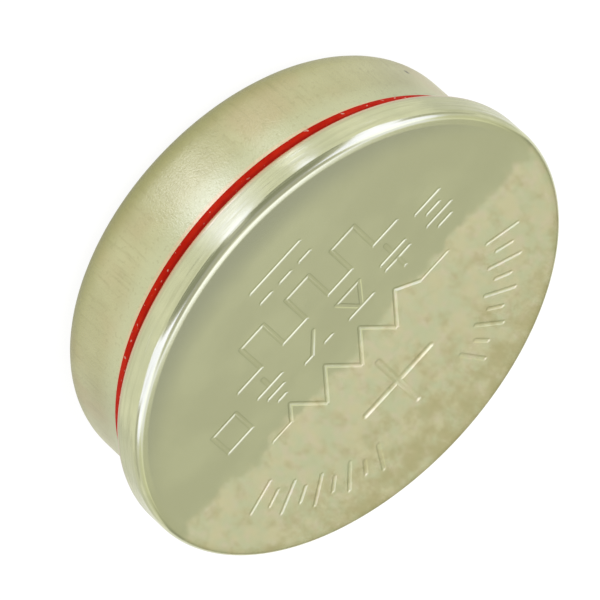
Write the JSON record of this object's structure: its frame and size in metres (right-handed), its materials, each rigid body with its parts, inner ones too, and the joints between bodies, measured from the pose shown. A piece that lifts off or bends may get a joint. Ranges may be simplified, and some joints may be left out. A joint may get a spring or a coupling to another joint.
{
  "type": "lithium coin cell",
  "caption": "Round lithium coin cell: a shallow positive cap crimped over a narrower deep-drawn negative cup, with a red seal ring between them.",
  "frame": {"origin": "on the cell's axis, in the plane of the negative face that the cell lies on", "axes": "+Z along the cell's axis, out of the positive face; +X along the rows of stamped marks; +Y from the plus sign towards the top row of marks"},
  "size_m": [0.0244, 0.0244, 0.0077],
  "materials": {
    "cap_metal": "nickel-plated steel sheet, smooth and slightly yellow, with stamped lines",
    "cup_metal": "nickel-plated steel, deep drawn, fine matt grain",
    "seal_plastic": "moulded polypropylene, red",
    "lithium": "soft rolled lithium metal",
    "separator_felt": "non-woven polypropylene, soaked with electrolyte",
    "pellet_powder": "pressed manganese dioxide powder with carbon",
    "inner_steel": "thin stainless sheet"
  },
  "bodies": {
    "root": {"positive_cap": "cap_metal", "negative_cup": "cup_metal", "seal_ring": "seal_plastic", "lithium_disc": "lithium", "separator": "separator_felt", "cathode_pellet": "pellet_powder", "cathode_ring": "inner_steel", "cathode_collector": "inner_steel"}
  },
  "joints": []
}
